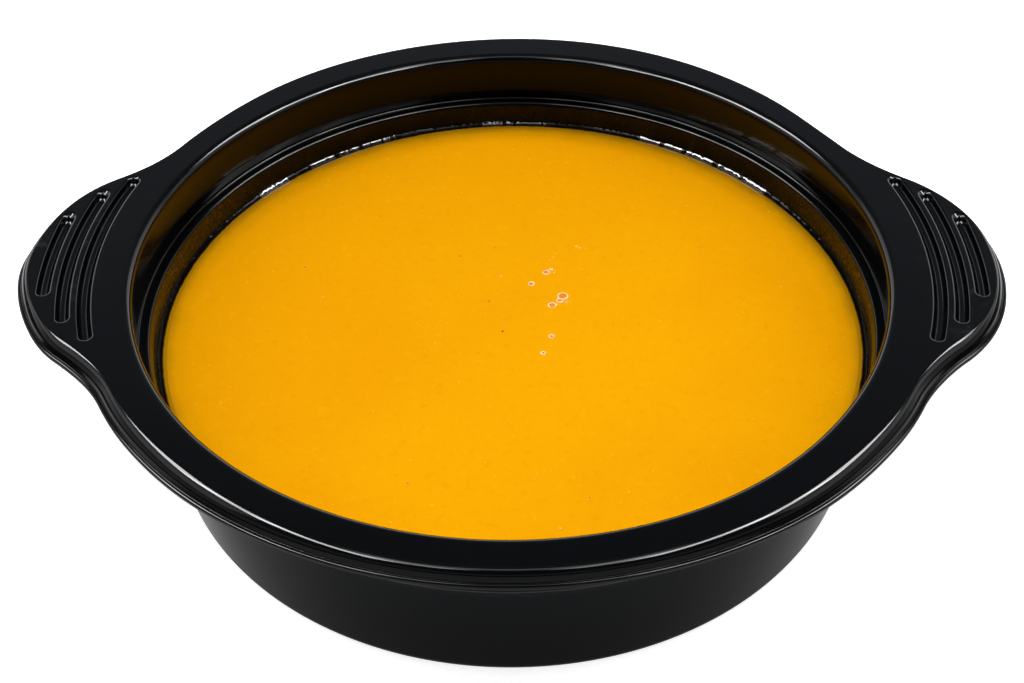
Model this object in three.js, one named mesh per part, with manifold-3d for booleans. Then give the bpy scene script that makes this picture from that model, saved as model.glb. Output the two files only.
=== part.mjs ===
// Bowl of pumpkin soup: a thin black moulded tray with a round bowl, a flat rim that runs out
// into two ears with grip grooves, and the soup that fills it to below the inner ledge.
// Millimetres. +Z is up, +X runs from ear to ear, the origin is the middle of the underside.
import * as THREE from "three";
import { mergeVertices } from "three/addons/utils/BufferGeometryUtils.js";
import Module from "manifold-3d";

// ---- driving dimensions ----
const HEIGHT = 41.5;          // underside of the base to the top of the rim
const SHEET = 0.8;            // thickness of the tray
const BASE_R = 70.5;          // outside of the base, its edge taken sharp
const BASE_EDGE_R = 2.6;      // rounding of the outer base edge
const LOWER_OUT_R = 73.4;     // outside radius of the lower wall at the height of the ledge
const LEDGE_R = 72.85;        // inside radius at the inner edge of the ledge
const LEDGE_DROP = 12.6;      // ledge below the top of the rim
const LEDGE_EDGE_R = 0.5;     // rounding of the ledge's inner edge
const UPPER_FOOT_R = 75.1;    // inside radius of the upper wall at the ledge
const UPPER_R = 73.75;        // the same at the rim: the wall is undercut to hold a lid
const RIM_EDGE_R = 1.7;       // rounding from the upper wall onto the rim
const RIM_R = 82.0;           // outer edge of the rim where it breaks into the skirt, without the ears
const EAR_CENTRE = 63.4;      // centre of the ear's end arc
const EAR_R = 32.8;           // radius of the ear's end arc
const EAR_FILLET_R = 36.0;    // hollow arc that joins ear and rim
const EAR_SKEW = 0.8;         // the rim is this much wider in front of the ears than behind them
const TRIM = [                // where the rim departs from that: azimuth, spread in degrees, amount
  [50, 16, -0.55], [33, 9, -0.9], [20, 7, 0.1], [4, 8, -0.1], [-14, 8, 0.8], [-21, 5, 0.5], [-28, 10, 0.98],
  [-46, 12, 0.3], [-50, 18, 0.72], [-90, 22, -0.31], [-134, 10, 0.4], [-128, 16, 0.18], [-150, 10, 0.74],
  [-162, 7, 1.55], [-176, 8, 0.63], [180, 5, 0.55], [166, 7, 0.75], [154, 10, 0.45], [128, 20, 0.25],
  [84, 26, 0.5], [24, 12, -0.2], [8, 8, -0.08], [46, 10, -0.2], [164, 14, -0.3], [180, 8, -0.3],
];
const MOUTH = [               // where the inner edge of the rim departs from a circle, the same way
  [38, 20, -0.55], [142, 20, -0.5], [-57, 22, 0.45],
];
const ROLL = [                // rounded outer edge of the rim: run, drop, in the front and by the ears
  [[0, 0], [0, 0]], [[0.48, 0.062], [0.275, 0.06]], [[0.78, 0.155], [0.447, 0.137]],
  [[1.06, 0.29], [0.683, 0.288]], [[1.33, 0.53], [1.141, 0.758]], [[1.58, 0.93], [1.649, 1.547]],
];
const ROLL_OUT = 0.32;        // the front's rounded edge sits this much further out
const SKIRT = [               // skirt and lip: out past the edge, drop, the same way
  [[0.64, 2.44], [0.43, 2.76]], [[1.14, 2.53], [1.13, 2.87]], [[1.2, 2.8], [1.2, 3.15]],
  [[1.05, 3.6], [1.06, 3.92]],
];
const SOUP_LEVEL = 23.5;      // flat soup surface above the underside
const MENISCUS_RISE = 0.9;    // the soup climbs the wall by this much
const MENISCUS_RUN = 2.6;     // over this distance
const SOUP_GAP = 0.3;         // clearance between the soup and the tray
const GROOVES = [             // centre radius and half angle of the grip grooves, in degrees
  { radius: 91.5, half: 7.15 },
  { radius: 87.5, half: 12.7 },
  { radius: 83.5, half: 17.0 },
];
const GROOVE_WIDTH = 2.8;
const GROOVE_DEPTH = 1.7;
const EAR_STEPS = 24;         // facets along each ear
const SIDE_STEPS = 13;        // facets along the round front and back

const { degToRad: rad, lerp, smoothstep } = THREE.MathUtils;

// ---- rim outline in polar form ----
const fillet = (() => {
  const far = RIM_R + EAR_FILLET_R, near = EAR_R + EAR_FILLET_R;
  const x = (far * far - near * near + EAR_CENTRE * EAR_CENTRE) / (2 * EAR_CENTRE);
  const y = Math.sqrt(far * far - x * x);
  const tip = new THREE.Vector2(x - EAR_CENTRE, y).multiplyScalar(EAR_R / near);
  return { x, y, fromTip: Math.atan2(tip.y, EAR_CENTRE + tip.x), fromRim: Math.atan2(y, x) };
})();
function outlineRadius(angle) {
  const wrapped = Math.atan2(Math.sin(angle), Math.cos(angle));
  let a = Math.abs(wrapped);
  if (a > Math.PI / 2) a = Math.PI - a;
  const c = Math.cos(a), s = Math.sin(a);
  let r = RIM_R;
  if (a < fillet.fromTip) {
    r = EAR_CENTRE * c + Math.sqrt(EAR_R ** 2 - (EAR_CENTRE * s) ** 2);
  } else if (a < fillet.fromRim) {
    const along = fillet.x * c + fillet.y * s;
    const off2 = fillet.x ** 2 + fillet.y ** 2 - along ** 2;
    r = along - Math.sqrt(EAR_FILLET_R ** 2 - off2);
  }
  const bulge = Math.exp(-(((THREE.MathUtils.radToDeg(a) - 32) / 16) ** 2));
  r -= Math.sign(wrapped) * EAR_SKEW * bulge * Math.min(1, a / rad(8));
  const degrees = THREE.MathUtils.radToDeg(wrapped);
  for (const [middle, spread, amount] of TRIM) {
    const off = ((degrees - middle + 540) % 360) - 180;
    r += amount * Math.exp(-((off / spread) ** 2));
  }
  return r;
}
// Width of the rounded outer edge: wide in front of the ears, narrow behind them, wide at the back.
const bump = (x, middle, spread) => Math.exp(-(((x - middle) / spread) ** 2));
function shoulderWidth(angle) {
  const c = Math.cos(angle), s = Math.sin(angle);
  const front = 1.58 + 0.32 * Math.min(1, 2.2 * c * c) + 0.15 * bump(Math.abs(c), 0.78, 0.12) - 0.62 * bump(s, -0.1, 0.13);
  const rear = 0.9 + 0.9 * Math.max(0, s) ** 2;
  return lerp(front, rear, smoothstep(s, -0.05, 0.15));
}
// 0 in the middle of the front, 1 by the ears and behind them.
function eared(angle) {
  return Math.sin(angle) > 0 ? 1 : smoothstep(Math.abs(Math.cos(angle)), 0.12, 0.72);
}
// The inner edge of the rim sits a little forward and is a touch longer from ear to ear.
function mouth(angle) {
  let r = -0.35 * Math.cos(angle) - 0.6 * Math.sin(angle) + 0.3 * Math.cos(2 * angle);
  for (const [middle, spread, amount] of MOUTH) {
    const off = ((THREE.MathUtils.radToDeg(angle) - middle + 540) % 360) - 180;
    r += amount * Math.exp(-((off / spread) ** 2));
  }
  return r;
}
function outlinePoint(angle, offset) {
  const d = 1e-4, r = outlineRadius(angle);
  const slope = (outlineRadius(angle + d) - outlineRadius(angle - d)) / (2 * d);
  const c = Math.cos(angle), s = Math.sin(angle);
  const n = new THREE.Vector2(r * c + slope * s, r * s - slope * c).normalize();
  return new THREE.Vector2(r * c + n.x * offset, r * s + n.y * offset);
}

// ---- shared angles: fine along the ears, coarser along the round front and back ----
const angles = [];
const EAR_SPAN = rad(64);
for (const middle of [0, Math.PI]) {
  for (let i = 0; i < EAR_STEPS; i++) angles.push(middle - EAR_SPAN / 2 + (EAR_SPAN * i) / EAR_STEPS);
  const rest = Math.PI - EAR_SPAN;
  for (let i = 0; i < SIDE_STEPS; i++) angles.push(middle + EAR_SPAN / 2 + (rest * i) / SIDE_STEPS);
}
const STEPS = angles.length;

// A turned body whose stations sit at the shared angles. Each profile point is [radius, z, share]
// for round rings, the share being that of the mouth's unevenness, or [offset, z, share, ear],
// which follows the rim outline at that offset plus the share of the shoulder's width there and
// turns into the ear's [offset, z, share] towards the ears.
function turned(profile, material, name) {
  const lathe = new THREE.LatheGeometry(profile.map(([r, z]) => new THREE.Vector2(Math.max(r, 0), z)), STEPS);
  const position = lathe.getAttribute("position");
  for (let j = 0; j <= STEPS; j++) {
    const angle = angles[j % STEPS];
    profile.forEach(([r, z, share = 0, ear], i) => {
      if (ear) {
        const t = eared(angle);
        const p = outlinePoint(angle, lerp(r, ear[0], t) + lerp(share, ear[2], t) * shoulderWidth(angle));
        position.setXYZ(j * profile.length + i, p.x, p.y, lerp(z, ear[1], t));
      } else {
        const out = r + share * mouth(angle);
        position.setXYZ(j * profile.length + i, out * Math.cos(angle), out * Math.sin(angle), z);
      }
    });
  }
  const mesh = new THREE.Mesh(welded(lathe), material);
  mesh.name = name;
  return mesh;
}
function welded(geometry) {
  const bare = geometry.clone();
  bare.deleteAttribute("normal");
  bare.deleteAttribute("uv");
  const merged = mergeVertices(bare, 1e-4);
  const index = merged.getIndex().array, kept = [];
  for (let i = 0; i < index.length; i += 3) {
    const [a, b, c] = [index[i], index[i + 1], index[i + 2]];
    if (a !== b && b !== c && c !== a) kept.push(a, b, c);
  }
  merged.setIndex(kept);
  return merged;
}
// Volume sign of a closed mesh, used to face it outwards.
function facedOut(geometry) {
  const p = geometry.getAttribute("position"), index = geometry.getIndex().array;
  const a = new THREE.Vector3(), b = new THREE.Vector3(), c = new THREE.Vector3();
  let volume = 0;
  for (let i = 0; i < index.length; i += 3) {
    a.fromBufferAttribute(p, index[i]); b.fromBufferAttribute(p, index[i + 1]); c.fromBufferAttribute(p, index[i + 2]);
    volume += a.dot(b.cross(c));
  }
  if (volume < 0) {
    const flipped = [];
    for (let i = 0; i < index.length; i += 3) flipped.push(index[i], index[i + 2], index[i + 1]);
    geometry.setIndex(flipped);
  }
  return geometry;
}
// Points on an arc from one direction to another, both in degrees from +radius towards +z.
function arc(r, z, radius, from, to, count) {
  const out = [];
  for (let i = 0; i <= count; i++) {
    const t = rad(from + ((to - from) * i) / count);
    out.push([r + radius * Math.cos(t), z + radius * Math.sin(t)]);
  }
  return out;
}

// ---- tray profile: inside from the middle outwards, then back along the underside ----
const rimZ = HEIGHT, ledgeZ = HEIGHT - LEDGE_DROP;
const slope = Math.atan2(LOWER_OUT_R - BASE_R, ledgeZ);
const lowerInner = (z) => BASE_R - SHEET / Math.cos(slope) + Math.tan(slope) * z;
const innerEdge = BASE_EDGE_R - SHEET;
const edgeZ = rimZ - RIM_EDGE_R, edgeR = UPPER_R + RIM_EDGE_R;
const uneven = (points) => points.map(([r, z]) => [r, z, 1]);
const rolled = (points) => points.map(([front, ear = front]) => [...front, ear]);
const runs = ROLL[ROLL.length - 1].map(([run]) => run);
const baseCentreR = lowerInner(BASE_EDGE_R) - innerEdge;
const trayProfile = [
  [0, SHEET],
  ...arc(baseCentreR, BASE_EDGE_R, innerEdge, -90, 0, 3),
  ...arc(LEDGE_R + LEDGE_EDGE_R, ledgeZ - LEDGE_EDGE_R, LEDGE_EDGE_R, 180, 90, 2),
  [UPPER_FOOT_R - 0.3, ledgeZ], [UPPER_FOOT_R - 0.03, ledgeZ + 0.3],
  ...uneven(arc(edgeR, edgeZ, RIM_EDGE_R, 180, 90, 4)),
  ...rolled(ROLL.map((pair) => pair.map(([run, drop], i) => [i ? 0 : ROLL_OUT, rimZ - drop, run / runs[i] - 1]))),
  ...rolled(SKIRT.map((pair) => pair.map(([out, drop]) => [out, rimZ - drop, 0]))),
  ...rolled([[[0.2, rimZ - 3.4, 0], [0.2, rimZ - 3.5, 0]], [[-0.45, rimZ - 2.5, 0]], [[-SHEET, rimZ - 1.7, 0]],
    [[-0.25, rimZ - 1.3, -0.45], [-0.45, rimZ - 1.3, -0.45]], [[-0.05, rimZ - SHEET, -1], [-0.25, rimZ - SHEET, -1]]]),
  ...uneven(arc(edgeR, edgeZ, RIM_EDGE_R - SHEET, 90, 180, 2)),
  [UPPER_FOOT_R + SHEET - 0.05, ledgeZ + 0.4], [UPPER_FOOT_R - 0.2, ledgeZ - SHEET],
  [lowerInner(ledgeZ - 1.6) + SHEET / Math.cos(slope), ledgeZ - 1.6],
  ...arc(baseCentreR, BASE_EDGE_R, BASE_EDGE_R, 0, -90, 3),
  [0, 0],
];

// ---- materials ----
const trayMaterial = new THREE.MeshStandardMaterial({ color: 0x141618, roughness: 0.42, metalness: 0 });
const soupMaterial = new THREE.MeshStandardMaterial({ color: 0xf5a505, roughness: 0.35, metalness: 0 });

// ---- grip grooves: cut from the top of each ear, each with its raised back below ----
const wasm = await Module();
wasm.setup();
function solid(geometry) {
  const g = facedOut(welded(geometry));
  return new wasm.Manifold(new wasm.Mesh({
    numProp: 3,
    vertProperties: new Float32Array(g.getAttribute("position").array),
    triVerts: new Uint32Array(g.getIndex().array),
  }));
}
function slot({ radius, half }, width, depth, top, side, round) {
  const h = width / 2 - round, a = rad(half), shape = new THREE.Shape();
  const turn = side > 0 ? 0 : Math.PI, end = (t) => [radius * Math.cos(t), radius * Math.sin(t)];
  shape.absarc(0, 0, radius + h, turn - a, turn + a, false);
  shape.absarc(...end(turn + a), h, turn + a, turn + a + Math.PI, false);
  shape.absarc(0, 0, radius - h, turn + a, turn - a, true);
  shape.absarc(...end(turn - a), h, turn - a + Math.PI, turn - a + 2 * Math.PI, false);
  const body = new THREE.ExtrudeGeometry(shape, {
    depth: depth - 2 * round, curveSegments: 3, bevelEnabled: true,
    bevelThickness: round, bevelSize: round, bevelSegments: 2,
  });
  body.translate(0, 0, top - depth + round);
  return body;
}
const trayRound = turned(trayProfile, trayMaterial, "bowl");
let tray = solid(trayRound.geometry);
for (const side of [1, -1]) {
  for (const groove of GROOVES) {
    tray = tray.add(solid(slot(groove, GROOVE_WIDTH + 2 * SHEET, GROOVE_DEPTH + SHEET - 0.4, rimZ - 0.4, side, 0.35)));
  }
}
for (const side of [1, -1]) {
  for (const groove of GROOVES) {
    tray = tray.subtract(solid(slot(groove, GROOVE_WIDTH, GROOVE_DEPTH + 1.5, rimZ + 1.5, side, 0.7)));
  }
}
function fromSolid(body) {
  const { vertProperties, triVerts } = body.getMesh();
  const geometry = new THREE.BufferGeometry();
  geometry.setAttribute("position", new THREE.BufferAttribute(new Float32Array(vertProperties), 3));
  geometry.setIndex(Array.from(triVerts));
  return geometry;
}
const bowl = new THREE.Mesh(fromSolid(tray), trayMaterial);
bowl.name = "bowl";

// ---- soup: fills the bowl to its level, a little raised where it meets the wall ----
const soupWall = (z) => lowerInner(z) - SOUP_GAP;
const soupFoot = baseCentreR;
const meniscus = [];
for (let i = 0; i <= 3; i++) {
  const t = i / 3, z = SOUP_LEVEL + MENISCUS_RISE * (1 - t) ** 2;
  meniscus.push([soupWall(SOUP_LEVEL + MENISCUS_RISE) - MENISCUS_RUN * t, z]);
}
const soupProfile = [
  [0, SHEET + SOUP_GAP],
  ...arc(soupFoot, BASE_EDGE_R, innerEdge - SOUP_GAP, -90, 0, 2),
  ...meniscus,
  [0, SOUP_LEVEL],
];
const soup = turned(soupProfile, soupMaterial, "soup");
facedOut(soup.geometry);

const group = new THREE.Group();
group.add(bowl, soup);
export default group;
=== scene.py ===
# Bowl of pumpkin soup in a black moulded tray. Metres, same frame as the CAD: +Z up, +X from ear
# to ear, the origin in the middle of the underside. Lengths below are in millimetres and are
# scaled once, when a mesh is made.
import math

import bmesh
import bpy
import numpy as np
from mathutils import Matrix, Vector
from mathutils.geometry import delaunay_2d_cdt


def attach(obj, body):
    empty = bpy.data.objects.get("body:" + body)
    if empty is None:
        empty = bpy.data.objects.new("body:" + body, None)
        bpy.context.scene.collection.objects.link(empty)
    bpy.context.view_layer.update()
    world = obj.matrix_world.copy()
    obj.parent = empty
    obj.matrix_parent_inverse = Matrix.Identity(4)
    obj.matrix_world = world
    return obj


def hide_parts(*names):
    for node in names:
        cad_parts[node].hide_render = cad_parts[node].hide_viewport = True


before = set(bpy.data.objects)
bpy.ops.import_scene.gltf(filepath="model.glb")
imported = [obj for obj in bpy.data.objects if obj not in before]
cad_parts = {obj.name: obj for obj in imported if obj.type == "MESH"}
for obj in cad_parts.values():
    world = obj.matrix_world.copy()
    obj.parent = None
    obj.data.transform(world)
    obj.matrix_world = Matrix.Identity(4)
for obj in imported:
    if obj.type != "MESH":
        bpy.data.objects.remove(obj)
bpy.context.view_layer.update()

MM = 0.001

# ---- driving dimensions, the same as the CAD model's ----
HEIGHT, SHEET = 41.5, 0.8
BASE_R, BASE_EDGE_R = 70.5, 2.6
LOWER_OUT_R, LEDGE_R, LEDGE_Z, LEDGE_EDGE_R = 73.4, 72.85, 28.9, 0.5
UPPER_FOOT_R, UPPER_R, RIM_EDGE_R = 75.1, 73.75, 1.7
RIM_R = 82.0
EAR_CENTRE, EAR_R, EAR_FILLET_R, EAR_SKEW = 63.4, 32.8, 36.0, 0.8
TRIM = [  # where the rim departs from that: azimuth, spread in degrees, amount
    (50, 16, -0.55), (33, 9, -0.9), (20, 7, 0.1), (4, 8, -0.1), (-14, 8, 0.8), (-21, 5, 0.5), (-28, 10, 0.98),
    (-46, 12, 0.3), (-50, 18, 0.72), (-90, 22, -0.31), (-134, 10, 0.4), (-128, 16, 0.18), (-150, 10, 0.74),
    (-162, 7, 1.55), (-176, 8, 0.63), (180, 5, 0.55), (166, 7, 0.75), (154, 10, 0.45), (128, 20, 0.25),
    (84, 26, 0.5), (24, 12, -0.2), (8, 8, -0.08), (46, 10, -0.2), (164, 14, -0.3), (180, 8, -0.3),
]
MOUTH = [  # where the inner edge of the rim departs from a circle, the same way
    (38, 20, -0.55), (142, 20, -0.5), (-57, 22, 0.45),
]
SOUP_LEVEL = 23.5
GROOVES = [(91.5, 7.15), (87.5, 12.7), (83.5, 17.0)]  # centre radius, half angle in degrees
GROOVE_HALF, GROOVE_DEPTH, GROOVE_ROUND = 1.18, 1.7, 0.5

rad = math.radians
slope = math.atan2(LOWER_OUT_R - BASE_R, LEDGE_Z)


def lower_inner(z):
    """Inside radius of the lower wall at height z."""
    return BASE_R - SHEET / math.cos(slope) + math.tan(slope) * z


inner_edge = BASE_EDGE_R - SHEET
base_centre = lower_inner(BASE_EDGE_R) - inner_edge

# ---- rim outline in polar form ----
_far, _near = RIM_R + EAR_FILLET_R, EAR_R + EAR_FILLET_R
_fx = (_far**2 - _near**2 + EAR_CENTRE**2) / (2 * EAR_CENTRE)
_fy = math.sqrt(_far**2 - _fx**2)
_from_tip = math.atan2(_fy * EAR_R / _near, EAR_CENTRE + (_fx - EAR_CENTRE) * EAR_R / _near)
_from_rim = math.atan2(_fy, _fx)


def outline_radius(angle):
    wrapped = np.arctan2(np.sin(angle), np.cos(angle))
    a = np.abs(wrapped)
    a = np.where(a > math.pi / 2, math.pi - a, a)
    c, s = np.cos(a), np.sin(a)
    tip = EAR_CENTRE * c + np.sqrt(np.maximum(EAR_R**2 - (EAR_CENTRE * s) ** 2, 0))
    along = _fx * c + _fy * s
    hollow = along - np.sqrt(np.maximum(EAR_FILLET_R**2 - (_fx**2 + _fy**2 - along**2), 0))
    r = np.where(a < _from_tip, tip, np.where(a < _from_rim, hollow, RIM_R))
    bulge = np.exp(-(((np.degrees(a) - 32) / 16) ** 2))
    r = r - np.sign(wrapped) * EAR_SKEW * bulge * np.minimum(1, a / rad(8))
    for middle, spread, amount in TRIM:
        off = (np.degrees(wrapped) - middle + 540) % 360 - 180
        r = r + amount * np.exp(-((off / spread) ** 2))
    return r


def shoulder(angle):
    """Width of the rounded outer edge: wide in front of the ears, narrow behind them, wide at the back."""
    c, n = np.cos(angle), np.sin(angle)
    front = 1.58 + 0.32 * np.minimum(1, 2.2 * c * c) + 0.15 * np.exp(-(((np.abs(c) - 0.78) / 0.12) ** 2))
    front = front - 0.62 * np.exp(-(((n + 0.10) / 0.13) ** 2))
    rear = 0.9 + 0.9 * np.maximum(0, n) ** 2
    share = np.clip((n + 0.05) / 0.2, 0, 1)
    return front + (rear - front) * share * share * (3 - 2 * share)


def eared(angle):
    """0 in the middle of the front, 1 by the ears and behind them."""
    c, n = np.cos(angle), np.sin(angle)
    t = np.clip((np.abs(c) - 0.12) / 0.6, 0, 1)
    return np.where(n > 0, 1.0, t * t * (3 - 2 * t))


def mouth(angle):
    """The inner edge of the rim sits a little forward and is a touch longer from ear to ear."""
    r = -0.35 * np.cos(angle) - 0.6 * np.sin(angle) + 0.3 * np.cos(2 * angle)
    for middle, spread, amount in MOUTH:
        off = (np.degrees(angle) - middle + 540) % 360 - 180
        r = r + amount * np.exp(-((off / spread) ** 2))
    return r


def outline_points(angle, offset):
    d = 1e-4
    r = outline_radius(angle)
    s = (outline_radius(angle + d) - outline_radius(angle - d)) / (2 * d)
    c, n = np.cos(angle), np.sin(angle)
    nx, ny = r * c + s * n, r * n - s * c
    length = np.hypot(nx, ny)
    return r * c + nx / length * offset, r * n + ny / length * offset


# ---- stations round the tray: fine along the ears, coarser along the round sides ----
stations = []
for middle in (0.0, 180.0):
    stations += [middle - 36 + 0.5 * i for i in range(144)]
    stations += [middle + 36 + 1.5 * i for i in range(72)]
stations = np.radians(np.array(stations))


def arc(r, z, radius, start, end, count):
    t = np.radians(np.linspace(start, end, count + 1))
    return [(r + radius * math.cos(a), z + radius * math.sin(a)) for a in t]


class Skin:
    """Vertices, faces and the material number of each face of one mesh."""

    def __init__(self):
        self.points, self.faces, self.kinds = [], [], []
        self.count = 0

    def loop(self, x, y, z):
        x = np.asarray(x, float)
        block = np.stack([x, np.asarray(y, float), np.broadcast_to(np.asarray(z, float), x.shape)], 1)
        self.points.append(block)
        first = self.count
        self.count += len(block)
        return list(range(first, self.count))

    def round(self, r, z, angles=stations, share=0.0):
        r = r + share * mouth(angles)
        return self.loop(r * np.cos(angles), r * np.sin(angles), z)

    def rolled(self, offset, z, share=0.0, angles=stations):
        x, y = outline_points(angles, offset + share * shoulder(angles))
        return self.loop(x, y, z)

    def face(self, corners, kind=0):
        self.faces.append(tuple(corners))
        self.kinds.append(kind)

    def strip(self, a, b, kind=0):
        n = len(a)
        for i in range(n):
            j = (i + 1) % n
            self.face((a[i], a[j], b[j], b[i]), kind)

    def strips(self, loops, kind=0):
        for a, b in zip(loops, loops[1:]):
            self.strip(a, b, kind)

    def cap(self, a, x, y, z, kind=0):
        (middle,) = self.loop([x], [y], [z])
        for i in range(len(a)):
            self.face((a[i], a[(i + 1) % len(a)], middle), kind)

    def object(self, name, materials, smooth=True):
        mesh = bpy.data.meshes.new(name)
        mesh.from_pydata((np.concatenate(self.points) * MM).tolist(), [], self.faces)
        for m in materials:
            mesh.materials.append(m)
        mesh.polygons.foreach_set("material_index", self.kinds)
        mesh.polygons.foreach_set("use_smooth", [smooth] * len(mesh.polygons))
        bm = bmesh.new()
        bm.from_mesh(mesh)
        bmesh.ops.recalc_face_normals(bm, faces=bm.faces)
        bm.to_mesh(mesh)
        bm.free()
        mesh.update()
        made = bpy.data.objects.new(name, mesh)
        bpy.context.scene.collection.objects.link(made)
        return made


# ---- node helpers ----
class Shade:
    def __init__(self, name, **values):
        self.material = bpy.data.materials.new(name)
        self.material.use_nodes = True
        self.tree = self.material.node_tree
        self.tree.nodes.clear()
        self.out = self.tree.nodes.new("ShaderNodeOutputMaterial")
        self.bsdf = self.tree.nodes.new("ShaderNodeBsdfPrincipled")
        self.tree.links.new(self.bsdf.outputs[0], self.out.inputs[0])
        for key, value in values.items():
            self.bsdf.inputs[key.replace("_", " ")].default_value = value
        coordinate = self.tree.nodes.new("ShaderNodeTexCoord")
        scaled = self.tree.nodes.new("ShaderNodeVectorMath")
        scaled.operation = "SCALE"
        scaled.inputs["Scale"].default_value = 1000.0
        self.tree.links.new(coordinate.outputs["Object"], scaled.inputs[0])
        self.place = scaled.outputs[0]  # millimetres
        split = self.tree.nodes.new("ShaderNodeSeparateXYZ")
        self.tree.links.new(self.place, split.inputs[0])
        self.x, self.y, self.z = split.outputs

    def put(self, socket, value):
        if isinstance(value, bpy.types.NodeSocket):
            self.tree.links.new(value, socket)
        else:
            socket.default_value = value

    def to(self, name, value):
        self.put(self.bsdf.inputs[name], value)

    def math(self, operation, a, b=0.0, c=0.0, clamp=False):
        n = self.tree.nodes.new("ShaderNodeMath")
        n.operation, n.use_clamp = operation, clamp
        for socket, value in zip(n.inputs, (a, b, c)):
            self.put(socket, value)
        return n.outputs[0]

    def mul(self, *values):
        out = values[0]
        for v in values[1:]:
            out = self.math("MULTIPLY", out, v)
        return out

    def add(self, *values):
        out = values[0]
        for v in values[1:]:
            out = self.math("ADD", out, v)
        return out

    def span(self, value, low, high, out_low=0.0, out_high=1.0, kind="SMOOTHSTEP"):
        n = self.tree.nodes.new("ShaderNodeMapRange")
        n.interpolation_type = kind
        self.put(n.inputs["Value"], value)
        n.inputs["From Min"].default_value = low
        n.inputs["From Max"].default_value = high
        n.inputs["To Min"].default_value = out_low
        n.inputs["To Max"].default_value = out_high
        return n.outputs["Result"]

    def noise(self, scale, detail=2.0, roughness=0.5, distortion=0.0, at=None, seed=0.0):
        n = self.tree.nodes.new("ShaderNodeTexNoise")
        n.noise_dimensions = "4D"
        self.put(n.inputs["Vector"], at or self.place)
        n.inputs["W"].default_value = seed
        n.inputs["Scale"].default_value = scale
        n.inputs["Detail"].default_value = detail
        n.inputs["Roughness"].default_value = roughness
        n.inputs["Distortion"].default_value = distortion
        return n.outputs["Fac"]

    def cells(self, scale, at=None, randomness=1.0):
        n = self.tree.nodes.new("ShaderNodeTexVoronoi")
        self.put(n.inputs["Vector"], at or self.place)
        n.inputs["Scale"].default_value = scale
        n.inputs["Randomness"].default_value = randomness
        return n.outputs["Distance"]

    def mix(self, share, a, b):
        n = self.tree.nodes.new("ShaderNodeMix")
        n.data_type = "RGBA"
        self.put(n.inputs["Factor"], share)
        for socket, value in zip([s for s in n.inputs if s.type == "RGBA"], (a, b)):
            self.put(socket, value if isinstance(value, bpy.types.NodeSocket) else (*value, 1.0))
        return next(s for s in n.outputs if s.type == "RGBA")

    def vector(self, x, y, z):
        n = self.tree.nodes.new("ShaderNodeCombineXYZ")
        for socket, value in zip(n.inputs, (x, y, z)):
            self.put(socket, value)
        return n.outputs[0]

    def polar(self):
        """Radius and the angle times a mean radius, both in millimetres."""
        r = self.math("SQRT", self.add(self.mul(self.x, self.x), self.mul(self.y, self.y)))
        return r, self.mul(self.math("ARCTAN2", self.y, self.x), 72.0)

    def bump(self, height, strength, distance_mm):
        n = self.tree.nodes.new("ShaderNodeBump")
        n.inputs["Strength"].default_value = strength
        n.inputs["Distance"].default_value = distance_mm * MM
        self.put(n.inputs["Height"], height)
        self.to("Normal", n.outputs[0])


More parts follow.
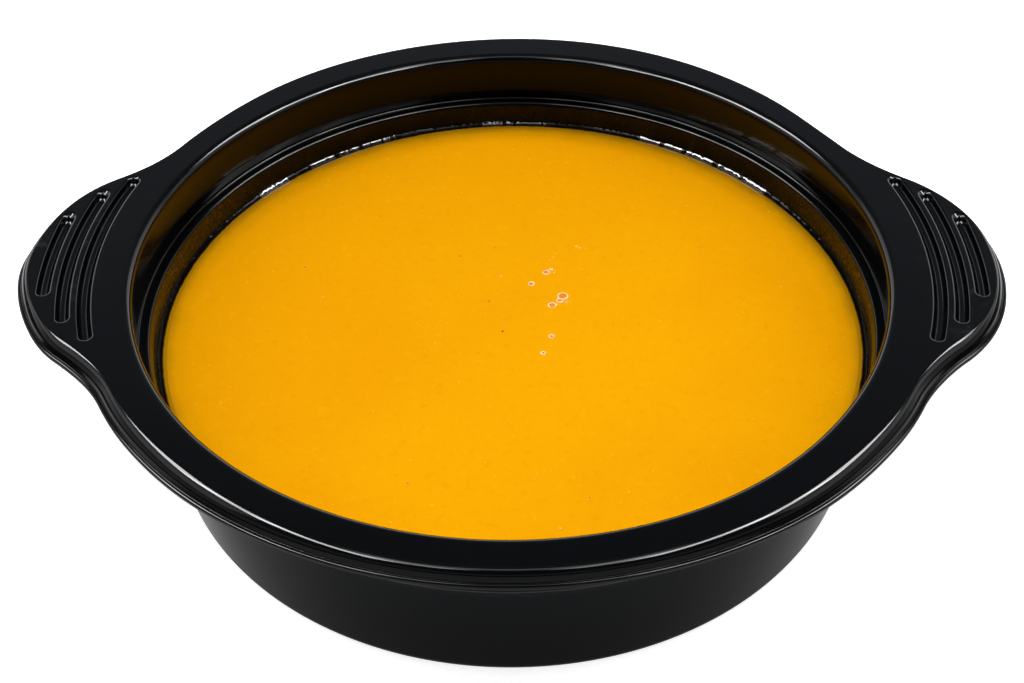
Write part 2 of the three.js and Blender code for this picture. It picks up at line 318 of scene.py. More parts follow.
# ---- finishes ----
def tray_finish(name, film=False, outside=False):
    s = Shade(name)
    s.bsdf.inputs["IOR"].default_value = 1.46
    s.bsdf.inputs["Specular IOR Level"].default_value = 0.018 if outside else 0.115
    cloud = s.noise(0.05, 3, 0.55, seed=1.3)
    grain = s.noise(2.2, 2, 0.6, seed=4.1)
    fleck = s.span(s.noise(1.1, 4, 0.75, seed=8.0), 0.68, 0.80)
    dark, light = (0.0010, 0.0012, 0.0014), (0.0017, 0.0019, 0.0021)
    colour = s.mix(cloud, dark, light)
    colour = s.mix(s.mul(fleck, 0.08), colour, (0.02, 0.021, 0.023))
    rough = s.add(s.span(cloud, 0.3, 0.7, 0.075, 0.105), s.mul(grain, 0.02), s.mul(fleck, 0.08))
    height = s.add(s.mul(s.noise(0.35, 2, 0.5, seed=2.0), 1.0), s.mul(grain, 0.12))
    distance = 0.008
    if outside:
        rough = s.add(rough, 0.12)
        # painted shade: the outside is coloured lighter towards the top and darker towards the bottom, where it would
        # reflect the shadowed floor
        colour = s.mix(s.span(s.z, 4, 34, 0.0, 0.8), colour, (0.0060, 0.0066, 0.0072))
    elif not film:
        # smudges where fingers held the ears
        smudge = s.mul(s.span(s.math("ABSOLUTE", s.x), 76, 86), s.span(s.noise(0.16, 3, 0.65, distortion=0.8, seed=14.0), 0.54, 0.72))
        colour = s.mix(s.mul(smudge, 0.5), colour, (0.0075, 0.0080, 0.0088))
        rough = s.add(rough, s.mul(smudge, 0.14))
    if film:
        r, run = s.polar()
        at = s.vector(s.mul(run, 0.55), s.mul(s.z, 0.22), s.mul(r, 0.3))
        streak = s.noise(1.5, 3, 0.55, distortion=2.2, at=at, seed=3.0)
        hair = s.span(s.math("ABSOLUTE", s.add(streak, -0.5)), 0.0, 0.035, 1.0, 0.0)
        band = s.mul(s.span(s.z, 23.6, 24.4), s.span(s.z, 28.7, 28.1))
        # the wall on the left and right carries more of the dried film than the back
        side = s.span(s.math("ABSOLUTE", s.x), 54, 73)
        patch = s.span(s.noise(0.22, 2, 0.5, seed=6.0), 0.42, 0.62)
        much = s.mul(band, s.add(s.mul(side, 0.85), s.mul(patch, 0.10)))
        low = s.span(s.z, 27.0, 24.2)
        colour = s.mix(s.mul(much, 0.9), colour, s.mix(low, (0.026, 0.0125, 0.0007), (0.043, 0.0210, 0.0011)))
        colour = s.mix(s.mul(much, hair, 0.85), colour, (0.140, 0.076, 0.005))
        smear = s.mul(band, s.span(s.noise(0.9, 2, 0.5, distortion=0.6, seed=9.0,
                                           at=s.vector(s.mul(run, 0.42), s.mul(s.z, 0.2), 0.0)), 0.635, 0.70))
        colour = s.mix(s.mul(smear, 0.4), colour, (0.016, 0.0145, 0.012))
        rough = s.add(rough, s.mul(much, 0.04), s.mul(smear, 0.10))
        height = s.add(height, s.mul(much, streak, 2.4), s.mul(smear, 0.8))
        edge = s.mul(s.span(s.z, 27.6, 28.3), s.span(s.x, 20, -40))
        height = s.add(height, s.mul(edge, s.noise(1.6, 2, 0.6, seed=11.0), 2.0))
        distance = 0.014
    s.to("Base Color", colour)
    s.to("Roughness", rough)
    s.bump(height, 1.0, distance)
    return s.material


def soup_finish():
    s = Shade("PumpkinSoup")
    s.bsdf.inputs["IOR"].default_value = 1.34
    s.bsdf.inputs["Specular IOR Level"].default_value = 0.006
    r, run = s.polar()
    broad = s.noise(0.020, 2, 0.5, seed=0.4)
    pulp = s.noise(0.55, 4, 0.62, seed=5.0)
    colour = s.mix(s.span(broad, 0.35, 0.68), (0.900, 0.360, 0.0003), (0.935, 0.394, 0.0003))
    # painted shade: the soup is coloured a little darker towards the back and the left
    painted_back_shade = s.span(s.add(s.mul(s.x, -0.55), s.mul(s.y, 0.85)), -30, 70)
    colour = s.mix(s.mul(painted_back_shade, 0.85), colour, (0.850, 0.342, 0.0004))
    colour = s.mix(s.span(pulp, 0.30, 0.46, 0.22, 0.0), colour, (0.76, 0.280, 0.0003))
    colour = s.mix(s.span(pulp, 0.56, 0.74, 0.0, 0.30), colour, (0.99, 0.48, 0.002))
    fibre = s.noise(2.1, 3, 0.7, distortion=0.7, seed=7.0, at=s.vector(s.x, s.mul(s.y, 1.2), s.z))
    colour = s.mix(s.span(fibre, 0.63, 0.72, 0.0, 0.50), colour, (1.0, 0.58, 0.008))
    fine = s.noise(3.3, 3, 0.7, seed=17.0)
    colour = s.mix(s.span(fine, 0.30, 0.40, 0.30, 0.0), colour, (0.70, 0.242, 0.0003))
    # the thin edge is darker and more olive, partly from the thin soup over the black tray and partly as painted shade
    # from the walls, least so in front
    ragged = s.add(r, s.mul(s.add(s.noise(0.16, 3, 0.6, seed=2.2), -0.5), 2.4))
    # painted shade: the darkening is strongest at the back, where the back wall shades the soup
    rear = s.span(s.y, -60, 20, 0.45, 1.0)
    colour = s.mix(s.mul(s.span(ragged, 64.5, 70.4, 0.0, 0.50), rear), colour, (0.50, 0.240, 0.0010))
    colour = s.mix(s.mul(s.span(ragged, 68.2, 71.2, 0.0, 0.75), rear), colour, (0.300, 0.155, 0.0040))
    s.to("Base Color", colour)
    s.to("Roughness", s.span(pulp, 0.3, 0.7, 0.42, 0.58))
    height = s.add(s.mul(pulp, 1.0), s.mul(fibre, 0.5), s.mul(fine, 0.2))
    s.bump(height, 0.7, 0.02)
    return s.material


def edge_finish(name, level):
    s = Shade(name)
    s.bsdf.inputs["IOR"].default_value = 1.40
    s.bsdf.inputs["Specular IOR Level"].default_value = level
    r, run = s.polar()
    uneven = s.noise(0.5, 3, 0.6, seed=3.3)
    ragged = s.add(r, s.mul(s.add(uneven, -0.5), 0.35))
    colour = s.mix(s.span(ragged, 70.75, 71.15), (0.40, 0.185, 0.0025), (0.0030, 0.0022, 0.0012))
    s.to("Base Color", colour)
    s.to("Roughness", s.span(uneven, 0.3, 0.7, 0.07, 0.12))
    s.bump(s.noise(1.4, 2, 0.5, seed=12.0), 0.5, 0.015)
    return s.material


def small_finish(name, first, second, rough, level, scale=2.0):
    s = Shade(name)
    s.bsdf.inputs["IOR"].default_value = 1.40
    s.bsdf.inputs["Specular IOR Level"].default_value = level
    grain = s.noise(scale, 3, 0.6, seed=1.0)
    s.to("Base Color", s.mix(s.span(grain, 0.35, 0.65), first, second))
    s.to("Roughness", s.span(grain, 0.3, 0.7, rough * 0.8, rough * 1.2))
    s.bump(grain, 0.4, 0.02)
    return s.material


tray_top = tray_finish("TrayBlack")
tray_wall = tray_finish("TrayBlackFilm", film=True)
tray_out = tray_finish("TrayBlackOutside", outside=True)
soup_material = soup_finish()
edge_bright, edge_dull = edge_finish("WetEdge", 0.30), edge_finish("WetEdgeDull", 0.02)

# ---- the tray ----
tray = Skin()
TOP, FILM, OUT = 0, 1, 2
inside = [tray.round(r, SHEET) for r in (12, 34, 54)]
tray.cap(inside[0], 0, 0, SHEET, FILM)
inside += [tray.round(r, z) for r, z in arc(base_centre, BASE_EDGE_R, inner_edge, -90, 0, 5)]
inside += [tray.round(lower_inner(z), z) for z in (8, 15, 20, 22, 23.5, 25, 26.4, 27.4)]
tray.strips(inside, FILM)
edge_r = LEDGE_R + LEDGE_EDGE_R
ledge_edge = [tray.round(r, z) for r, z in arc(edge_r, LEDGE_Z - LEDGE_EDGE_R, LEDGE_EDGE_R, 172, 90, 8)]
tray.strips([inside[-1]] + ledge_edge, FILM)
rim_z, rim_r = HEIGHT - RIM_EDGE_R, UPPER_R + RIM_EDGE_R
upper = [tray.round(r, LEDGE_Z) for r in (edge_r + 0.12, UPPER_FOOT_R - 0.42)]
upper += [tray.round(r, z) for r, z in arc(UPPER_FOOT_R - 0.34, LEDGE_Z + 0.3, 0.3, -84, 0, 6)]
upper += [tray.round(UPPER_FOOT_R + (UPPER_R - UPPER_FOOT_R) * t, LEDGE_Z + 0.6 + (rim_z - LEDGE_Z - 0.6) * t, share=t)
          for t in (0.02, 0.15, 0.4, 0.65, 0.88)]
upper += [tray.round(r, z, share=1) for r, z in arc(rim_r, rim_z, RIM_EDGE_R, 186, 91, 16)]
upper += [tray.round(rim_r + 0.15, HEIGHT, share=1)]
tray.strips([ledge_edge[-1]] + upper, TOP)

# the shoulder of the rim from the flat outwards: run and drop, in the middle of the front and by
# the ears; then the skirt and the lip: how far out past the edge, and drop
ROLL_FRONT = [(0, 0), (0.16, 0.008), (0.32, 0.028), (0.48, 0.062), (0.64, 0.105), (0.78, 0.155), (0.92, 0.215),
              (1.06, 0.290), (1.20, 0.395), (1.33, 0.53), (1.44, 0.69), (1.52, 0.82), (1.58, 0.93)]
ROLL_EAR = [(0, 0), (0.117, 0.012), (0.197, 0.033), (0.275, 0.060), (0.362, 0.095), (0.447, 0.137), (0.567, 0.208),
            (0.683, 0.288), (0.910, 0.492), (1.141, 0.758), (1.348, 1.043), (1.535, 1.342), (1.649, 1.547)]
SKIRT_FRONT = [(0.37, 1.10), (0.44, 1.40), (0.52, 1.80), (0.59, 2.15), (0.64, 2.44), (0.655, 2.465), (0.72, 2.475),
               (0.84, 2.48), (0.98, 2.515), (1.09, 2.60), (1.165, 2.72), (1.20, 2.88), (1.18, 3.20), (1.12, 3.52),
               (1.05, 3.60), (0.87, 3.62)]
SKIRT_EAR = [(0.06, 1.70), (0.14, 1.95), (0.25, 2.25), (0.35, 2.52), (0.43, 2.76), (0.445, 2.785), (0.51, 2.795),
             (0.80, 2.80), (0.97, 2.835), (1.09, 2.92), (1.165, 3.04), (1.20, 3.20), (1.18, 3.50), (1.13, 3.82),
             (1.06, 3.92), (0.87, 3.95)]
ears, wide = eared(stations), shoulder(stations)


def blend(front, ear):
    return front + (ear - front) * ears


outer = [tray.rolled(blend(0.32, 0) - wide - 0.08, HEIGHT)]
for (run_a, drop_a), (run_b, drop_b) in zip(ROLL_FRONT, ROLL_EAR):
    share = blend(run_a / ROLL_FRONT[-1][0], run_b / ROLL_EAR[-1][0])
    outer.append(tray.rolled(blend(0.32, 0) - wide * (1 - share), HEIGHT - blend(drop_a, drop_b)))
for (out_a, drop_a), (out_b, drop_b) in zip(SKIRT_FRONT, SKIRT_EAR):
    outer.append(tray.rolled(blend(out_a, out_b), HEIGHT - blend(drop_a, drop_b)))
tray.strips(outer[:-3], TOP)
tray.strips(outer[-4:], OUT)
lifted = blend(0.33, 0.03)
under = [tray.rolled(o, HEIGHT - d + lifted * lift) for o, d, lift in (
    (0.72, 3.93, 1), (0.5, 3.78, 1), (0.25, 3.5, 0.8), (0.0, 3.05, 0.5), (-0.3, 2.5, 0.2), (-0.55, 2.05, 0), (-0.75, 1.8, 0),
)]
under += [tray.rolled(blend(0.2, 0) + o, HEIGHT - d, share) for o, d, share in ((-0.55, 1.5, -0.35), (-0.35, 1.1, -0.7), (-0.25, SHEET, -1.0))]
tray.strips([outer[-1]] + under, OUT)


def rib_depth(x, y):
    """How far the sheet's underside hangs down below the flange at each groove's back."""
    angle, radius = np.arctan2(y, x), np.hypot(x, y)
    most = np.zeros_like(x)
    for middle in (0.0, math.pi):
        off = np.arctan2(np.sin(angle - middle), np.cos(angle - middle))
        for groove_r, half in GROOVES:
            near = np.clip(off, -rad(half), rad(half)) + middle
            gap = np.hypot(x - groove_r * np.cos(near), y - groove_r * np.sin(near))
            share = np.clip(1 - (gap / 2.45) ** 4, 0, 1)
            most = np.maximum(most, GROOVE_DEPTH * np.sqrt(share))
    return most


ox, oy = outline_points(stations, blend(0.2, 0) - 0.25 - wide)
inner_r = rim_r + 0.15 + mouth(stations)
ix, iy = inner_r * np.cos(stations), inner_r * np.sin(stations)
flange = [under[-1]]
for i in range(1, 24):
    t = i / 24
    x, y = ox + (ix - ox) * t, oy + (iy - oy) * t
    flange.append(tray.loop(x, y, HEIGHT - SHEET - rib_depth(x, y)))
flange += [tray.round(rim_r + 0.15, HEIGHT - SHEET, share=1)]
flange += [tray.round(r, z, share=1) for r, z in arc(rim_r, rim_z, RIM_EDGE_R - SHEET, 88, 186, 7)]
flange += [tray.round(UPPER_R + SHEET + (UPPER_FOOT_R - UPPER_R) * t, rim_z - (rim_z - 29.4) * t, share=1 - t) for t in (0.3, 0.65, 1.0)]
flange += [tray.round(r, z) for r, z in ((75.75, 28.8), (75.35, 28.3), (74.7, 28.08), (74.0, 27.95), (73.5, 27.4))]
skin_out = SHEET / math.cos(slope)
flange += [tray.round(lower_inner(z) + skin_out, z) for z in (26.6, 24, 20, 16, 12, 8, 5, 3.4)]
flange += [tray.round(r, z) for r, z in arc(base_centre, BASE_EDGE_R, BASE_EDGE_R, 0, -90, 10)]
flange += [tray.round(r, 0) for r in (66, 50, 30, 12)]
tray.strips(flange, OUT)
tray.cap(flange[-1], 0, 0, 0, OUT)


def stadium(groove_r, half, middle, width, reach):
    """A closed loop round a groove at a distance from its middle line, the same count at any width.
    The rear end reaches further, where the groove runs out in a shallow scoop."""
    a = rad(half)
    count = max(10, int(round(2 * half / 0.55)))
    along = np.linspace(-a, a, count + 1)
    turn = np.linspace(0, math.pi, 15)[1:-1]
    x, y = [], []

    def end(at, start):
        extra = reach if math.sin(middle + at) > 0 else 0
        for t in turn:
            more = extra * math.sin(t)
            x.append(groove_r * math.cos(middle + at) + width * math.cos(start + t) - more * math.sin(start))
            y.append(groove_r * math.sin(middle + at) + width * math.sin(start + t) + more * math.cos(start))

    for t in along:
        x.append((groove_r + width) * math.cos(middle + t))
        y.append((groove_r + width) * math.sin(middle + t))
    end(a, middle + a)
    for t in along[::-1]:
        x.append((groove_r - width) * math.cos(middle + t))
        y.append((groove_r - width) * math.sin(middle + t))
    end(-a, middle - a + math.pi)
    return np.array(x), np.array(y), count


cup = [(GROOVE_HALF + GROOVE_ROUND + 0.05, 0.0)]
cup += [(GROOVE_HALF + GROOVE_ROUND - GROOVE_ROUND * math.sin(t), GROOVE_ROUND * (1 - math.cos(t)))
        for t in np.linspace(0, math.pi / 2 * 0.93, 7)]
_w, _d = cup[-1]
cup += [(_w * math.cos(t), _d + (GROOVE_DEPTH - _d) * math.sin(t)) for t in np.radians([10, 21, 33, 45, 57, 68, 78, 86])]
holes = []
for middle in (0.0, math.pi):
    for groove_r, half in GROOVES:
        loops = []
        for width, depth in cup:
            reach = float(np.interp(depth, [0, 0.05, 0.15, 0.3, 0.5, 0.7, 0.95], [1.1, 0.92, 0.74, 0.52, 0.28, 0.1, 0]))
            x, y, count = stadium(groove_r, half, middle, width, reach * (0.4 if half > 15 else 1))
            loops.append(tray.loop(x, y, HEIGHT - depth))
        tray.strips(loops, TOP)
        holes.append(loops[0])
        last = loops[-1]
        n = count + 1
        turn = (len(last) - 2 * n) // 2
        far, back = last[:n], last[n + turn:2 * n + turn][::-1]
        for i in range(count):
            tray.face((far[i], far[i + 1], back[i + 1], back[i]), TOP)
        tray.face([far[-1], *last[n:n + turn], back[-1]], TOP)
        tray.face([back[0], *last[2 * n + turn:], far[0]], TOP)

# the flat top of the rim, one plane with the grooves left open
known = np.concatenate(tray.points)[:, :2]
rings = [upper[-1], outer[0], *holes]
used = [i for ring in rings for i in ring]
sides, first = [], 0
for ring in rings:
    sides += [(first + i, first + (i + 1) % len(ring)) for i in range(len(ring))]
    first += len(ring)
spots, _, triangles, origins, _, _ = delaunay_2d_cdt([Vector(known[i]) for i in used], sides, [], 0, 1e-6)


def inside_of(ring, x, y):
    px, py = known[ring, 0], known[ring, 1]
    qx, qy = np.roll(px, -1), np.roll(py, -1)
    crosses = ((py > y) != (qy > y)) & (x < (qx - px) * (y - py) / (qy - py + 1e-12) + px)
    return bool(np.count_nonzero(crosses) % 2)


for corners in triangles:
    x = sum(spots[c][0] for c in corners) / 3
    y = sum(spots[c][1] for c in corners) / 3
    if inside_of(rings[1], x, y) and not any(inside_of(ring, x, y) for ring in (rings[0], *holes)):
        tray.face([used[origins[c][0]] for c in corners], TOP)
tray_object = tray.object("TrayShell", [tray_top, tray_wall, tray_out])
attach(tray_object, "root")
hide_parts("bowl")

# ---- the soup: its flat surface runs to the wet edge, the rest fills the tray ----
EDGE_IN, EDGE_FINE = 70.2, 1440


def swell(x, y):
    """The surface isn't dead level: low, broad unevenness of a thick puree, in millimetres."""
    out = np.zeros_like(x)
    waves = np.random.default_rng(21)
    for length, height in ((60, 0.050), (34, 0.035), (19, 0.022), (11, 0.012), (6.5, 0.008), (4.1, 0.006)):
        for _ in range(3):
            t = waves.uniform(0, 2 * math.pi)
            k = 2 * math.pi / length
            out += height / 1.7 * np.sin(k * (x * math.cos(t) + y * math.sin(t)) + waves.uniform(0, 2 * math.pi))
    return out


def rise(r):
    """The soup's edge: a faint swell first, then the climb up the wall."""
    lift = 0.12 * np.exp(-(((r - 70.6) / 0.7) ** 2))
    climb = np.clip((r - 70.9) / 1.3, 0, 1)
    return lift + 0.75 * climb ** 2.0


soup = Skin()
turns = np.radians(np.arange(0, 360, 1.0))
rings = [1.2, 2.5] + list(np.arange(4, 66, 0.9)) + list(np.arange(66, EDGE_IN, 0.55)) + [EDGE_IN, 70.6]
top = []
for r in rings:
    x, y = r * np.cos(turns), r * np.sin(turns)
    z = SOUP_LEVEL + swell(x, y) * min(1, (71 - r) / 3) + rise(np.full_like(x, r))
    if r > EDGE_IN:
        z = z - 0.06
    top.append(soup.loop(x, y, z))
soup.cap(top[0], 0, 0, SOUP_LEVEL + float(swell(np.zeros(1), np.zeros(1))[0]))
soup.strips(top)
wall = [soup.round(lower_inner(z) + 0.05, z, turns) for z in (22.9, 15, 8, 4)]
wall += [soup.round(r, z, turns) for r, z in arc(base_centre, BASE_EDGE_R, inner_edge + 0.03, 0, -90, 4)]
wall += [soup.round(r, BASE_EDGE_R - inner_edge - 0.03, turns) for r in (50, 30, 12)]
soup.strips([top[-1]] + wall)
soup.cap(wall[-1], 0, 0, BASE_EDGE_R - inner_edge - 0.03)
soup_object = soup.object("SoupBody", [soup_material])
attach(soup_object, "root")
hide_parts("soup")

# ---- the wet edge, a fine ring where the soup climbs the wall in small uneven beads ----
around = np.radians(np.arange(EDGE_FINE) * 360 / EDGE_FINE)


def ripple(angle, periods, seed):
    waves = np.random.default_rng(seed)
    out = np.zeros_like(angle)
    for count, height in periods:
        for _ in range(3):
            k = int(count * waves.uniform(0.8, 1.2))
            out += height * np.sin(k * angle + waves.uniform(0, 2 * math.pi)) / 1.7
    return out


shift = ripple(around, [(7, 0.12), (23, 0.07), (71, 0.04), (190, 0.03), (330, 0.02)], 5)
height = 1 + ripple(around, [(9, 0.10), (40, 0.08), (150, 0.05), (300, 0.03)], 8)
edge = Skin()
loops = []
for r in list(np.linspace(69.8, 70.5, 5)) + list(np.linspace(70.6, lower_inner(24.3) + 0.03, 20)):
    t = np.clip((r - 70.1) / 0.6, 0, 1) * np.clip((72.6 - r) / 0.9, 0, 1)
    moved = r + shift * t
    x, y = moved * np.cos(around), moved * np.sin(around)
    level = SOUP_LEVEL + swell(x, y) * min(1, (71 - min(r, 71)) / 3)
    up = rise(np.full_like(around, r))
    z = level + np.where(r > 70.9, up * height, up)
    if r < 70.15:
        z = z - 0.05 * (70.15 - r) / 0.35
    loops.append(edge.loop(x, y, z))
loops.append(edge.loop(*(lower_inner(24.4) + 0.05) * np.array([np.cos(around), np.sin(around)]), SOUP_LEVEL + 1.0))
loops.append(edge.loop(*(lower_inner(22.6) + 0.05) * np.array([np.cos(around), np.sin(around)]), SOUP_LEVEL - 0.9))
loops.append(edge.loop(69.8 * np.cos(around), 69.8 * np.sin(around), SOUP_LEVEL - 0.9))
# beads that glint lie at the back in broken runs; elsewhere the edge is duller
degrees = np.degrees(around)
glints = np.zeros(EDGE_FINE, bool)
for start, end in ((38, 66), (84, 97), (113, 131), (136, 143)):
    glints |= (degrees > start) & (degrees < end)
glints &= ripple(around, [(60, 0.5), (170, 0.5)], 17) > -0.55
for a, b in zip(loops, loops[1:] + [loops[0]]):
    for i in range(EDGE_FINE):
        j = (i + 1) % EDGE_FINE
        edge.face((a[i], a[j], b[j], b[i]), 0 if glints[i] else 1)
edge_object = edge.object("SoupWetEdge", [edge_bright, edge_dull])
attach(edge_object, "root")


# ---- small things on the surface ----
def surface(x, y):
    r = math.hypot(x, y)
    return SOUP_LEVEL + float(swell(np.array([x]), np.array([y]))[0]) * min(1, (71 - r) / 3) + float(rise(np.array([r]))[0])


def dome(skin, x, y, radius, high, sink=0.03, squash=1.0, turn=0.0, steps=12, rows=4, kind=0):
    base = surface(x, y) - sink
    a = np.linspace(0, 2 * math.pi, steps, endpoint=False)
    previous = None
    for i in range(rows):
        t = math.pi / 2 * i / rows
        r = radius * math.cos(t)
        u, v = r * np.cos(a), r * squash * np.sin(a)
        ring = skin.loop(x + u * math.cos(turn) - v * math.sin(turn), y + u * math.sin(turn) + v * math.cos(turn),
                         base + (high + sink) * math.sin(t))
        if previous:
            skin.strip(previous, ring, kind)
        else:
            skin.face(ring[::-1], kind)
        previous = ring
    skin.cap(previous, x, y, base + high + sink, kind)


def bubble_ring(skin, x, y, radius, thick, gap=None):
    """The pale rim of a bubble: a low torus, its thickness uneven along it."""
    base = surface(x, y)
    a = np.linspace(0, 2 * math.pi, 40, endpoint=False)
    waves = np.random.default_rng(int(abs(x * 100 + y * 1000)))
    fat = 1 + 0.22 * np.sin(a * 2 + waves.uniform(0, 6)) + 0.16 * np.sin(a * 5 + waves.uniform(0, 6))
    loops = []
    for t in np.linspace(0, 2 * math.pi, 8, endpoint=False):
        r = radius + thick * fat * math.cos(t)
        loops.append(skin.loop(x + r * np.cos(a), y + r * np.sin(a), base + 0.05 + thick * 0.9 * fat * math.sin(t)))
    skin.strips(loops + [loops[0]])


BUBBLES = [  # x, y, radius
    (7.0, 16.24, 0.66), (8.05, 17.3, 0.26), (3.87, 12.41, 0.62), (10.49, 8.55, 1.02), (9.83, 7.13, 0.62),
    (8.21, 5.61, 0.76), (8.03, -4.24, 0.52), (6.32, -9.29, 0.45),
]
rims, caps = Skin(), Skin()
for x, y, radius in BUBBLES:
    bubble_ring(rims, x, y, radius, 0.115)
    dome(caps, x, y, radius * 0.95, radius * 0.22, steps=24)
for x, y, radius in ((13.55, 25.3, 0.14), (14.3, 24.7, 0.16), (13.95, 25.6, 0.10), (-2.55, 15.07, 0.17), (-3.2, 15.1, 0.09),
                     (11.05, 6.75, 0.13), (11.45, 6.95, 0.12), (11.25, 6.35, 0.10), (10.75, 6.45, 0.13), (8.75, 16.2, 0.15),
                     (9.0, 17.0, 0.09), (9.15, 5.9, 0.15), (8.7, -4.1, 0.12), (9.0, -3.8, 0.08)):
    dome(rims, x, y, radius, radius * 0.8)
rim_material = small_finish("BubbleRim", (0.93, 0.72, 0.28), (1.0, 0.84, 0.46), 0.25, 0.5)
cap_material = small_finish("BubbleCap", (0.80, 0.205, 0.0012), (0.88, 0.275, 0.0016), 0.35, 0.1)
for name, skin, material in (("BubbleRims", rims, rim_material), ("BubbleCaps", caps, cap_material)):
    made = skin.object(name, [material])
    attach(made, "root")

black, brown, pale = Skin(), Skin(), Skin()
dome(black, -1.97, -2.68, 0.27, 0.10, squash=0.8)
for x, y, radius in ((-11.46, 21.85, 0.32), (-4.1, 24.72, 0.24), (-4.94, 6.82, 0.30), (-6.78, -9.3, 0.18),
                     (-6.86, -12.79, 0.18), (-18.87, -45.39, 0.26), (14.71, -48.81, 0.26), (-44.5, 18.0, 0.40),
                     (-50.2, -2.6, 0.20), (-29.6, 36.0, 0.26)):
    dome(brown, x, y, radius, 0.05, squash=0.75, turn=x)
scatter = np.random.default_rng(33)
for _ in range(900):
    r, t = 68.5 * math.sqrt(scatter.uniform(0, 1)), scatter.uniform(0, 2 * math.pi)
    x, y = r * math.cos(t), r * math.sin(t)
    size = scatter.uniform(0.05, 0.11)
    dome(pale, x, y, size * scatter.uniform(1.0, 2.6), 0.02, sink=0.02, squash=scatter.uniform(0.3, 0.7),
         turn=scatter.uniform(0, math.pi), steps=7, rows=2)
for _ in range(70):
    r, t = 68 * math.sqrt(scatter.uniform(0, 1)), scatter.uniform(0, 2 * math.pi)
    dome(brown, r * math.cos(t), r * math.sin(t), scatter.uniform(0.06, 0.13), 0.03, squash=0.7, turn=t, steps=8, rows=2)
for name, skin, colours, rough in (
    ("SpecksBlack", black, ((0.020, 0.004, 0.002), (0.05, 0.010, 0.003)), 0.5),
    ("SpecksBrown", brown, ((0.52, 0.145, 0.002), (0.66, 0.22, 0.002)), 0.5),
    ("SpecksPale", pale, ((0.95, 0.50, 0.05), (1.0, 0.62, 0.14)), 0.4),
):
    made = skin.object(name, [small_finish(name, *colours, rough, 0.1)])
    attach(made, "root")

# ---- floor, light and camera ----
scene = bpy.context.scene
floor_mesh = bpy.data.meshes.new("Floor")
floor_mesh.from_pydata([(-9, -9, 0), (9, -9, 0), (9, 9, 0), (-9, 9, 0)], [], [(0, 1, 2, 3)])
floor = bpy.data.objects.new("Floor", floor_mesh)
scene.collection.objects.link(floor)
f = Shade("FloorWhite", Roughness=0.9)
f.bsdf.inputs["Specular IOR Level"].default_value = 0.0
f.to("Base Color", f.mix(f.noise(0.002, 2, 0.5), (0.90, 0.90, 0.90), (0.92, 0.92, 0.92)))
f.bsdf.inputs["Emission Color"].default_value = (1, 1, 1, 1)
f.bsdf.inputs["Emission Strength"].default_value = 0.86
floor_mesh.materials.append(f.material)
floor.visible_glossy = False
# the white sheet that the tray stands on; past it the table is dark in reflections
sheet_mesh = bpy.data.meshes.new("Sheet")
circle = [(0.19 * math.cos(rad(a)), 0.19 * math.sin(rad(a)), 0.0) for a in range(0, 360, 4)]
sheet_mesh.from_pydata(circle, [], [tuple(range(len(circle)))])
sheet = bpy.data.objects.new("Sheet", sheet_mesh)
scene.collection.objects.link(sheet)
g = Shade("SheetWhite", Roughness=0.9)
g.bsdf.inputs["Specular IOR Level"].default_value = 0.0
g.to("Base Color", g.mix(g.noise(0.002, 2, 0.5), (0.60, 0.60, 0.60), (0.62, 0.62, 0.62)))
g.bsdf.inputs["Emission Color"].default_value = (1, 1, 1, 1)
g.bsdf.inputs["Emission Strength"].default_value = 0.50
sheet_mesh.materials.append(g.material)
sheet.visible_camera = sheet.visible_diffuse = False

world = bpy.data.worlds.new("Studio")
scene.world = world
world.use_nodes = True
tree = world.node_tree
tree.nodes.clear()
place = tree.nodes.new("ShaderNodeTexCoord")
split = tree.nodes.new("ShaderNodeSeparateXYZ")
background = tree.nodes.new("ShaderNodeBackground")
out = tree.nodes.new("ShaderNodeOutputWorld")
tree.links.new(place.outputs["Generated"], split.inputs[0])
height = tree.nodes.new("ShaderNodeMapRange")
tree.links.new(split.outputs["Z"], height.inputs["Value"])
height.inputs["From Min"].default_value, height.inputs["From Max"].default_value = -1.0, 1.0


def sky(stops):
    """Brightness of the room by the sine of the elevation."""
    ramp = tree.nodes.new("ShaderNodeValToRGB")
    tree.links.new(height.outputs["Result"], ramp.inputs[0])
    ramp.color_ramp.interpolation = "EASE"
    while len(ramp.color_ramp.elements) < len(stops):
        ramp.color_ramp.elements.new(0.5)
    for element, (at, colour) in zip(ramp.color_ramp.elements, stops):
        element.position, element.color = (at + 1) / 2, (*colour, 1)
    return ramp.outputs[0]


behind = sky([(-1.0, (0.004, 0.004, 0.004)), (-0.06, (0.02, 0.02, 0.02)), (0.0, (0.9, 0.9, 0.9)), (0.12, (0.75, 0.75, 0.77)),
              (0.28, (0.24, 0.24, 0.26)), (0.46, (0.090, 0.094, 0.104)), (0.60, (0.085, 0.091, 0.105)),
              (0.78, (0.050, 0.056, 0.070)), (1.0, (0.10, 0.108, 0.125))])
ahead = sky([(-1.0, (0.004, 0.004, 0.004)), (-0.10, (0.008, 0.008, 0.008)), (0.04, (0.16, 0.16, 0.16)), (0.14, (0.20, 0.20, 0.205)),
             (0.30, (0.040, 0.041, 0.044)), (0.50, (0.012, 0.013, 0.015)), (0.80, (0.012, 0.014, 0.017)), (1.0, (0.10, 0.108, 0.125))])
share = tree.nodes.new("ShaderNodeMapRange")
share.interpolation_type = "SMOOTHSTEP"
tree.links.new(split.outputs["Y"], share.inputs["Value"])
share.inputs["From Min"].default_value, share.inputs["From Max"].default_value = 0.05, 0.75
both = tree.nodes.new("ShaderNodeMix")
both.data_type = "RGBA"
tree.links.new(share.outputs["Result"], both.inputs["Factor"])
for socket, value in zip([n for n in both.inputs if n.type == "RGBA"], (ahead, behind)):
    tree.links.new(value, socket)
tree.links.new(next(n for n in both.outputs if n.type == "RGBA"), background.inputs[0])
background.inputs[1].default_value = 5.0
tree.links.new(background.outputs[0], out.inputs[0])


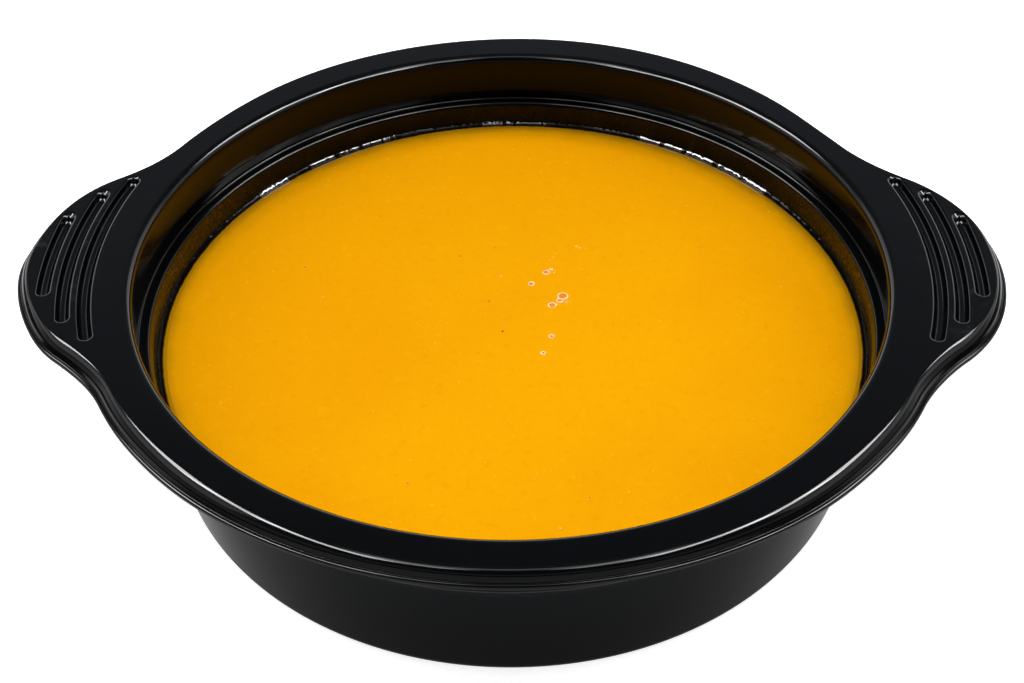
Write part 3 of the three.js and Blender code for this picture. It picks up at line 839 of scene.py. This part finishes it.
def softbox(name, azimuth, elevation, distance, width, height, radiance, diffuse=True, glossy=True, roll=0.0):
    """An area light that looks at the object. Radiance is what a mirror would show of it."""
    light = bpy.data.lights.new(name, "AREA")
    light.shape = "RECTANGLE"
    light.size, light.size_y = width, height
    light.energy = radiance * math.pi * width * height
    made = bpy.data.objects.new(name, light)
    scene.collection.objects.link(made)
    a, e = rad(azimuth), rad(elevation)
    away = Vector((math.cos(e) * math.cos(a), math.cos(e) * math.sin(a), math.sin(e)))
    made.location = away * distance + Vector((0, 0, 0.035))
    made.rotation_euler = (away.to_track_quat("Z", "Y").to_matrix() @ Matrix.Rotation(rad(roll), 3, "Z")).to_euler()
    made.visible_diffuse, made.visible_glossy = diffuse, glossy
    made.visible_camera = False
    return made


softbox("Overhead", 90, 80, 1.3, 0.95, 0.95, 3.95, glossy=False)
softbox("OverheadEdge", -90, 79, 1.3, 1.1, 0.24, 6.5, diffuse=False)
for side, way in (("Right", 1), ("Left", -1)):
    def azimuth(a):
        return a if way > 0 else 180 - a

    softbox(side + "Fill", azimuth(5), 42, 1.5, 0.5, 0.9, 3.4, glossy=False)
    # long bright strips on each side and a paler band below them, seen only as reflections
    softbox(side + "StripRear", azimuth(15), 47, 1.6, 0.62, 0.36, 62.0, diffuse=False)
    softbox(side + "StripSide", azimuth(-10), 47, 1.6, 0.62, 0.36, 62.0, diffuse=False)
    softbox(side + "StripFront", azimuth(-37), 47, 1.6, 0.74, 0.42, 64.0, diffuse=False)
    softbox(side + "High", azimuth(-56), 62, 1.5, 0.42, 0.36, 22.0, diffuse=False)
    softbox(side + "Low", azimuth(2), 25, 1.7, 1.7, 0.52, 3.0, diffuse=False)
    softbox(side + "LowRear", azimuth(52), 22, 1.7, 0.95, 0.52, 2.6, diffuse=False)

camera_data = bpy.data.cameras.new("Camera")
camera_data.lens, camera_data.sensor_width = 57.93, 36.0
camera_data.clip_start, camera_data.clip_end = 0.01, 50
camera = bpy.data.objects.new("Camera", camera_data)
scene.collection.objects.link(camera)
reach, raised, pitch, roll, yaw = 327.05, 0.6742920220, 0.7276176143, -0.0118868562, 0.0191781138
turn = Matrix.Rotation(yaw, 3, "Z")
forward, up, right = (Vector(v) for v in ((0, math.cos(pitch), -math.sin(pitch)), (0, math.sin(pitch), math.cos(pitch)), (1, 0, 0)))
image_x = right * math.cos(roll) + up * math.sin(roll)
image_y = up * math.cos(roll) - right * math.sin(roll)
eye = Vector((0.066, -reach * math.cos(raised), reach * math.sin(raised)))
camera.matrix_world = Matrix.Translation(((turn @ eye) + Vector((0, 0, HEIGHT))) * MM) @ (
    turn @ Matrix((image_x, image_y, -forward)).transposed()
).to_4x4()
camera_data.shift_x = -0.855 / 1024
camera_data.shift_y = 0.5 / 1024
scene.camera = camera
scene.view_settings.view_transform = "Standard"
scene.view_settings.look = "None"
